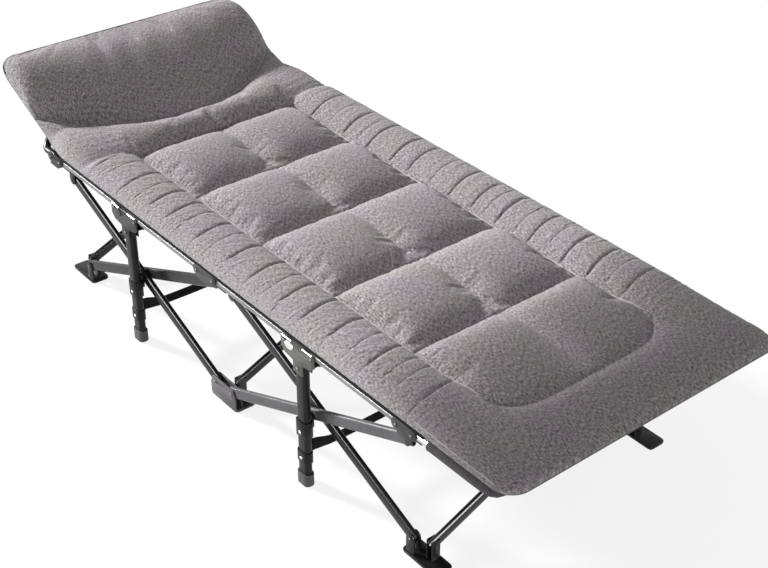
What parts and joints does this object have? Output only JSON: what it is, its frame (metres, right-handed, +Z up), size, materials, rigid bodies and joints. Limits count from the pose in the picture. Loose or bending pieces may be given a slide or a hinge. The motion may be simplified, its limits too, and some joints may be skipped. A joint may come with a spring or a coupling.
{
  "type": "folding camp cot",
  "caption": "Folding camp cot: steel scissor frame on rows of legs, with a quilted padded bed and a raised pillow end.",
  "frame": {"origin": "on the floor, under the middle of the whole cot's length and width", "axes": "+X along the bed towards the foot end, +Y towards the right side seen from the foot end, +Z up"},
  "size_m": [1.9, 0.7418, 0.5081],
  "materials": {
    "painted_steel": "satin dark grey paint",
    "black_plastic": "fine matt moulding",
    "black_rubber": "matt",
    "black_webbing": "woven webbing",
    "dark_cloth": "plain woven base cloth",
    "grey_quilt": "heathered linen-look weave"
  },
  "bodies": {
    "aft_inner_tube_left": {"aft_inner_tube_left": "painted_steel"},
    "aft_inner_tube_right": {"aft_inner_tube_right": "painted_steel"},
    "aft_leg_collar_left": {"aft_leg_collar_left": "black_plastic"},
    "aft_leg_collar_right": {"aft_leg_collar_right": "black_plastic"},
    "aft_leg_left": {"aft_leg_left": "painted_steel", "aft_leg_bracket_left": "painted_steel", "aft_leg_foot_left": "black_rubber", "aft_strap": "black_webbing"},
    "aft_leg_right": {"aft_leg_right": "painted_steel", "aft_leg_bracket_right": "painted_steel", "aft_leg_foot_right": "black_rubber"},
    "aft_outer_tube_left": {"aft_outer_tube_left": "painted_steel"},
    "aft_outer_tube_right": {"aft_outer_tube_right": "painted_steel"},
    "aft_rail_left": {"aft_rail_left": "painted_steel"},
    "aft_rail_right": {"aft_rail_right": "painted_steel"},
    "bed": {"bed_cloth": "dark_cloth", "quilted_pad": "grey_quilt", "pillow": "grey_quilt"},
    "foot_arm_left": {"foot_arm_left": "painted_steel"},
    "foot_arm_right": {"foot_arm_right": "painted_steel"},
    "foot_bracket_left": {"foot_bracket_left": "black_plastic"},
    "foot_bracket_right": {"foot_bracket_right": "black_plastic"},
    "foot_cross_tube_falling": {"foot_cross_tube_falling": "painted_steel"},
    "foot_cross_tube_rising": {"foot_cross_tube_rising": "painted_steel"},
    "foot_rail_left": {"foot_rail_left": "painted_steel"},
    "foot_rail_right": {"foot_rail_right": "painted_steel"},
    "foot_shoe_left": {"foot_shoe_left": "black_plastic"},
    "foot_shoe_right": {"foot_shoe_right": "black_plastic"},
    "fore_inner_tube_left": {"fore_inner_tube_left": "painted_steel"},
    "fore_inner_tube_right": {"fore_inner_tube_right": "painted_steel"},
    "fore_leg_collar_left": {"fore_leg_collar_left": "black_plastic"},
    "fore_leg_collar_right": {"fore_leg_collar_right": "black_plastic"},
    "fore_leg_left": {"fore_leg_left": "painted_steel", "fore_leg_bracket_left": "painted_steel", "fore_leg_foot_left": "black_rubber", "fore_strap": "black_webbing"},
    "fore_leg_right": {"fore_leg_right": "painted_steel", "fore_leg_bracket_right": "painted_steel", "fore_leg_foot_right": "black_rubber"},
    "fore_outer_tube_left": {"fore_outer_tube_left": "painted_steel"},
    "fore_outer_tube_right": {"fore_outer_tube_right": "painted_steel"},
    "fore_rail_left": {"fore_rail_left": "painted_steel"},
    "fore_rail_right": {"fore_rail_right": "painted_steel"},
    "head_arm_left": {"head_arm_left": "painted_steel"},
    "head_arm_right": {"head_arm_right": "painted_steel"},
    "head_bracket_left": {"head_bracket_left": "black_plastic"},
    "head_bracket_right": {"head_bracket_right": "black_plastic"},
    "head_cross_tube_falling": {"head_cross_tube_falling": "painted_steel"},
    "head_cross_tube_rising": {"head_cross_tube_rising": "painted_steel"},
    "head_rail_left": {"head_rail_left": "painted_steel"},
    "head_rail_right": {"head_rail_right": "painted_steel"},
    "head_shoe_left": {"head_shoe_left": "black_plastic"},
    "head_shoe_right": {"head_shoe_right": "black_plastic"},
    "mid_bracket_left": {"mid_bracket_left": "black_plastic"},
    "mid_bracket_right": {"mid_bracket_right": "black_plastic"},
    "mid_cross_tube_falling": {"mid_cross_tube_falling": "painted_steel"},
    "mid_cross_tube_rising": {"mid_cross_tube_rising": "painted_steel"},
    "mid_shoe_left": {"mid_shoe_left": "black_plastic"},
    "mid_shoe_right": {"mid_shoe_right": "black_plastic"}
  },
  "joints": [
    {"name": "fold", "type": "hinge", "parent": "mid_shoe_left", "child": "mid_cross_tube_rising", "pos_m": [0.0245, -0.301, 0.042], "axis": [1, 0, 0], "range_deg": [0, 52], "deforming": ["fore_strap", "aft_strap"]},
    {"name": "fore_outer_tube_hinge_left", "type": "hinge", "parent": "mid_shoe_left", "child": "fore_outer_tube_left", "pos_m": [-0.015, -0.3325, 0.042], "axis": [0, 1, 0], "range_deg": [0, 52]},
    {"name": "head_bracket_hinge_left", "type": "hinge", "parent": "fore_outer_tube_left", "child": "head_bracket_left", "pos_m": [-0.617, -0.3325, 0.297], "axis": [0, 1, 0], "range_deg": [-52, 0]},
    {"name": "fore_crossing_left", "type": "hinge", "parent": "fore_outer_tube_left", "child": "fore_inner_tube_left", "pos_m": [-0.316, -0.3165, 0.1695], "axis": [0, 1, 0], "range_deg": [-104, 0]},
    {"name": "head_shoe_hinge_left", "type": "hinge", "parent": "fore_inner_tube_left", "child": "head_shoe_left", "pos_m": [-0.617, -0.3165, 0.042], "axis": [0, 1, 0], "range_deg": [0, 52]},
    {"name": "mid_bracket_hinge_left", "type": "hinge", "parent": "fore_inner_tube_left", "child": "mid_bracket_left", "pos_m": [-0.015, -0.3165, 0.297], "axis": [0, 1, 0], "range_deg": [0, 52]},
    {"name": "fore_collar_hinge_left", "type": "hinge", "parent": "fore_outer_tube_left", "child": "fore_leg_collar_left", "pos_m": [-0.316, -0.357, 0.1695], "axis": [0, 1, 0], "range_deg": [-52, 0]},
    {"name": "fore_leg_slide_left", "type": "slide", "parent": "fore_leg_collar_left", "child": "fore_leg_left", "axis": [0, 0, 1], "range_m": [-0.06642, 0]},
    {"name": "aft_outer_tube_hinge_left", "type": "hinge", "parent": "mid_shoe_left", "child": "aft_outer_tube_left", "pos_m": [0.049, -0.3325, 0.042], "axis": [0, 1, 0], "range_deg": [-52, 0]},
    {"name": "foot_bracket_hinge_left", "type": "hinge", "parent": "aft_outer_tube_left", "child": "foot_bracket_left", "pos_m": [0.651, -0.3325, 0.297], "axis": [0, 1, 0], "range_deg": [0, 52]},
    {"name": "aft_crossing_left", "type": "hinge", "parent": "aft_outer_tube_left", "child": "aft_inner_tube_left", "pos_m": [0.35, -0.3165, 0.1695], "axis": [0, 1, 0], "range_deg": [0, 104]},
    {"name": "foot_shoe_hinge_left", "type": "hinge", "parent": "aft_inner_tube_left", "child": "foot_shoe_left", "pos_m": [0.651, -0.3165, 0.042], "axis": [0, 1, 0], "range_deg": [-52, 0]},
    {"name": "aft_collar_hinge_left", "type": "hinge", "parent": "aft_outer_tube_left", "child": "aft_leg_collar_left", "pos_m": [0.35, -0.357, 0.1695], "axis": [0, 1, 0], "range_deg": [0, 52]},
    {"name": "aft_leg_slide_left", "type": "slide", "parent": "aft_leg_collar_left", "child": "aft_leg_left", "axis": [0, 0, 1], "range_m": [-0.06642, 0]},
    {"name": "head_rail_hinge_left", "type": "hinge", "parent": "head_bracket_left", "child": "head_rail_left", "pos_m": [-0.619, -0.357, 0.352], "axis": [0, 1, 0], "range_deg": [0, 80.67]},
    {"name": "fore_rail_hinge_left", "type": "hinge", "parent": "mid_bracket_left", "child": "fore_rail_left", "pos_m": [-0.013, -0.357, 0.352], "axis": [0, 1, 0], "range_deg": [-80.67, 0]},
    {"name": "aft_rail_hinge_left", "type": "hinge", "parent": "mid_bracket_left", "child": "aft_rail_left", "pos_m": [0.047, -0.357, 0.352], "axis": [0, 1, 0], "range_deg": [0, 80.67]},
    {"name": "foot_rail_hinge_left", "type": "hinge", "parent": "foot_bracket_left", "child": "foot_rail_left", "pos_m": [0.653, -0.357, 0.352], "axis": [0, 1, 0], "range_deg": [-80.67, 0]},
    {"name": "head_arm_hinge_left", "type": "hinge", "parent": "head_bracket_left", "child": "head_arm_left", "pos_m": [-0.663, -0.357, 0.352], "axis": [0, 1, 0], "range_deg": [-90, 0]},
    {"name": "foot_arm_hinge_left", "type": "hinge", "parent": "foot_bracket_left", "child": "foot_arm_left", "pos_m": [0.697, -0.357, 0.352], "axis": [0, 1, 0], "range_deg": [0, 90]},
    {"name": "mid_crossing", "type": "hinge", "parent": "mid_cross_tube_rising", "child": "mid_cross_tube_falling", "pos_m": [0.017, 0, 0.1695], "axis": [1, 0, 0], "range_deg": [-104, 0]},
    {"name": "mid_shoe_hinge_right", "type": "hinge", "parent": "mid_cross_tube_falling", "child": "mid_shoe_right", "pos_m": [0.0095, 0.301, 0.042], "axis": [1, 0, 0], "range_deg": [0, 52]},
    {"name": "fore_outer_tube_hinge_right", "type": "hinge", "parent": "mid_shoe_right", "child": "fore_outer_tube_right", "pos_m": [-0.015, 0.3325, 0.042], "axis": [0, 1, 0], "range_deg": [0, 52]},
    {"name": "head_bracket_hinge_right", "type": "hinge", "parent": "fore_outer_tube_right", "child": "head_bracket_right", "pos_m": [-0.617, 0.3325, 0.297], "axis": [0, 1, 0], "range_deg": [-52, 0]},
    {"name": "fore_crossing_right", "type": "hinge", "parent": "fore_outer_tube_right", "child": "fore_inner_tube_right", "pos_m": [-0.316, 0.3165, 0.1695], "axis": [0, 1, 0], "range_deg": [-104, 0]},
    {"name": "head_shoe_hinge_right", "type": "hinge", "parent": "fore_inner_tube_right", "child": "head_shoe_right", "pos_m": [-0.617, 0.3165, 0.042], "axis": [0, 1, 0], "range_deg": [0, 52]},
    {"name": "mid_bracket_hinge_right", "type": "hinge", "parent": "fore_inner_tube_right", "child": "mid_bracket_right", "pos_m": [-0.015, 0.3165, 0.297], "axis": [0, 1, 0], "range_deg": [0, 52]},
    {"name": "fore_collar_hinge_right", "type": "hinge", "parent": "fore_outer_tube_right", "child": "fore_leg_collar_right", "pos_m": [-0.316, 0.357, 0.1695], "axis": [0, 1, 0], "range_deg": [-52, 0]},
    {"name": "fore_leg_slide_right", "type": "slide", "parent": "fore_leg_collar_right", "child": "fore_leg_right", "axis": [0, 0, 1], "range_m": [-0.06642, 0]},
    {"name": "aft_outer_tube_hinge_right", "type": "hinge", "parent": "mid_shoe_right", "child": "aft_outer_tube_right", "pos_m": [0.049, 0.3325, 0.042], "axis": [0, 1, 0], "range_deg": [-52, 0]},
    {"name": "foot_bracket_hinge_right", "type": "hinge", "parent": "aft_outer_tube_right", "child": "foot_bracket_right", "pos_m": [0.651, 0.3325, 0.297], "axis": [0, 1, 0], "range_deg": [0, 52]},
    {"name": "aft_crossing_right", "type": "hinge", "parent": "aft_outer_tube_right", "child": "aft_inner_tube_right", "pos_m": [0.35, 0.3165, 0.1695], "axis": [0, 1, 0], "range_deg": [0, 104]},
    {"name": "foot_shoe_hinge_right", "type": "hinge", "parent": "aft_inner_tube_right", "child": "foot_shoe_right", "pos_m": [0.651, 0.3165, 0.042], "axis": [0, 1, 0], "range_deg": [-52, 0]},
    {"name": "aft_collar_hinge_right", "type": "hinge", "parent": "aft_outer_tube_right", "child": "aft_leg_collar_right", "pos_m": [0.35, 0.357, 0.1695], "axis": [0, 1, 0], "range_deg": [0, 52]},
    {"name": "aft_leg_slide_right", "type": "slide", "parent": "aft_leg_collar_right", "child": "aft_leg_right", "axis": [0, 0, 1], "range_m": [-0.06642, 0]},
    {"name": "head_rail_hinge_right", "type": "hinge", "parent": "head_bracket_right", "child": "head_rail_right", "pos_m": [-0.619, 0.357, 0.352], "axis": [0, 1, 0], "range_deg": [0, 80.67]},
    {"name": "fore_rail_hinge_right", "type": "hinge", "parent": "mid_bracket_right", "child": "fore_rail_right", "pos_m": [-0.013, 0.357, 0.352], "axis": [0, 1, 0], "range_deg": [-80.67, 0]},
    {"name": "aft_rail_hinge_right", "type": "hinge", "parent": "mid_bracket_right", "child": "aft_rail_right", "pos_m": [0.047, 0.357, 0.352], "axis": [0, 1, 0], "range_deg": [0, 80.67]},
    {"name": "foot_rail_hinge_right", "type": "hinge", "parent": "foot_bracket_right", "child": "foot_rail_right", "pos_m": [0.653, 0.357, 0.352], "axis": [0, 1, 0], "range_deg": [-80.67, 0]},
    {"name": "head_arm_hinge_right", "type": "hinge", "parent": "head_bracket_right", "child": "head_arm_right", "pos_m": [-0.663, 0.357, 0.352], "axis": [0, 1, 0], "range_deg": [-90, 0]},
    {"name": "foot_arm_hinge_right", "type": "hinge", "parent": "foot_bracket_right", "child": "foot_arm_right", "pos_m": [0.697, 0.357, 0.352], "axis": [0, 1, 0], "range_deg": [0, 90]},
    {"name": "head_cross_hinge", "type": "hinge", "parent": "head_shoe_left", "child": "head_cross_tube_rising", "pos_m": [-0.6415, -0.301, 0.042], "axis": [1, 0, 0], "range_deg": [0, 52]},
    {"name": "head_crossing", "type": "hinge", "parent": "head_cross_tube_rising", "child": "head_cross_tube_falling", "pos_m": [-0.649, 0, 0.1695], "axis": [1, 0, 0], "range_deg": [-104, 0]},
    {"name": "foot_cross_hinge", "type": "hinge", "parent": "foot_shoe_left", "child": "foot_cross_tube_rising", "pos_m": [0.6905, -0.301, 0.042], "axis": [1, 0, 0], "range_deg": [0, 52]},
    {"name": "foot_crossing", "type": "hinge", "parent": "foot_cross_tube_rising", "child": "foot_cross_tube_falling", "pos_m": [0.683, 0, 0.1695], "axis": [1, 0, 0], "range_deg": [-104, 0]},
    {"name": "bed_centring", "type": "slide", "parent": "mid_bracket_left", "child": "bed", "axis": [0, 1, 0], "range_m": [-0.21618, 0]}
  ],
  "couplings": [
    {"joint": "fore_outer_tube_hinge_left", "follows": "fold", "ratio": 1},
    {"joint": "head_bracket_hinge_left", "follows": "fold", "ratio": -1},
    {"joint": "fore_crossing_left", "follows": "fold", "ratio": -2},
    {"joint": "head_shoe_hinge_left", "follows": "fold", "ratio": 1},
    {"joint": "mid_bracket_hinge_left", "follows": "fold", "ratio": 1},
    {"joint": "fore_collar_hinge_left", "follows": "fold", "ratio": -1},
    {"joint": "fore_leg_slide_left", "follows": "fold", "m_per_rad": -0.073158},
    {"joint": "aft_outer_tube_hinge_left", "follows": "fold", "ratio": -1},
    {"joint": "foot_bracket_hinge_left", "follows": "fold", "ratio": 1},
    {"joint": "aft_crossing_left", "follows": "fold", "ratio": 2},
    {"joint": "foot_shoe_hinge_left", "follows": "fold", "ratio": -1},
    {"joint": "aft_collar_hinge_left", "follows": "fold", "ratio": 1},
    {"joint": "aft_leg_slide_left", "follows": "fold", "m_per_rad": -0.073158},
    {"joint": "head_rail_hinge_left", "follows": "fold", "ratio": 1.5513},
    {"joint": "fore_rail_hinge_left", "follows": "fold", "ratio": -1.5513},
    {"joint": "aft_rail_hinge_left", "follows": "fold", "ratio": 1.5513},
    {"joint": "foot_rail_hinge_left", "follows": "fold", "ratio": -1.5513},
    {"joint": "head_arm_hinge_left", "follows": "fold", "ratio": -1.7308},
    {"joint": "foot_arm_hinge_left", "follows": "fold", "ratio": 1.7308},
    {"joint": "mid_crossing", "follows": "fold", "ratio": -2},
    {"joint": "mid_shoe_hinge_right", "follows": "fold", "ratio": 1},
    {"joint": "fore_outer_tube_hinge_right", "follows": "fold", "ratio": 1},
    {"joint": "head_bracket_hinge_right", "follows": "fold", "ratio": -1},
    {"joint": "fore_crossing_right", "follows": "fold", "ratio": -2},
    {"joint": "head_shoe_hinge_right", "follows": "fold", "ratio": 1},
    {"joint": "mid_bracket_hinge_right", "follows": "fold", "ratio": 1},
    {"joint": "fore_collar_hinge_right", "follows": "fold", "ratio": -1},
    {"joint": "fore_leg_slide_right", "follows": "fold", "m_per_rad": -0.073158},
    {"joint": "aft_outer_tube_hinge_right", "follows": "fold", "ratio": -1},
    {"joint": "foot_bracket_hinge_right", "follows": "fold", "ratio": 1},
    {"joint": "aft_crossing_right", "follows": "fold", "ratio": 2},
    {"joint": "foot_shoe_hinge_right", "follows": "fold", "ratio": -1},
    {"joint": "aft_collar_hinge_right", "follows": "fold", "ratio": 1},
    {"joint": "aft_leg_slide_right", "follows": "fold", "m_per_rad": -0.073158},
    {"joint": "head_rail_hinge_right", "follows": "fold", "ratio": 1.5513},
    {"joint": "fore_rail_hinge_right", "follows": "fold", "ratio": -1.5513},
    {"joint": "aft_rail_hinge_right", "follows": "fold", "ratio": 1.5513},
    {"joint": "foot_rail_hinge_right", "follows": "fold", "ratio": -1.5513},
    {"joint": "head_arm_hinge_right", "follows": "fold", "ratio": -1.7308},
    {"joint": "foot_arm_hinge_right", "follows": "fold", "ratio": 1.7308},
    {"joint": "head_cross_hinge", "follows": "fold", "ratio": 1},
    {"joint": "head_crossing", "follows": "fold", "ratio": -2},
    {"joint": "foot_cross_hinge", "follows": "fold", "ratio": 1},
    {"joint": "foot_crossing", "follows": "fold", "ratio": -2},
    {"joint": "bed_centring", "follows": "fold", "m_per_rad": -0.23817}
  ]
}
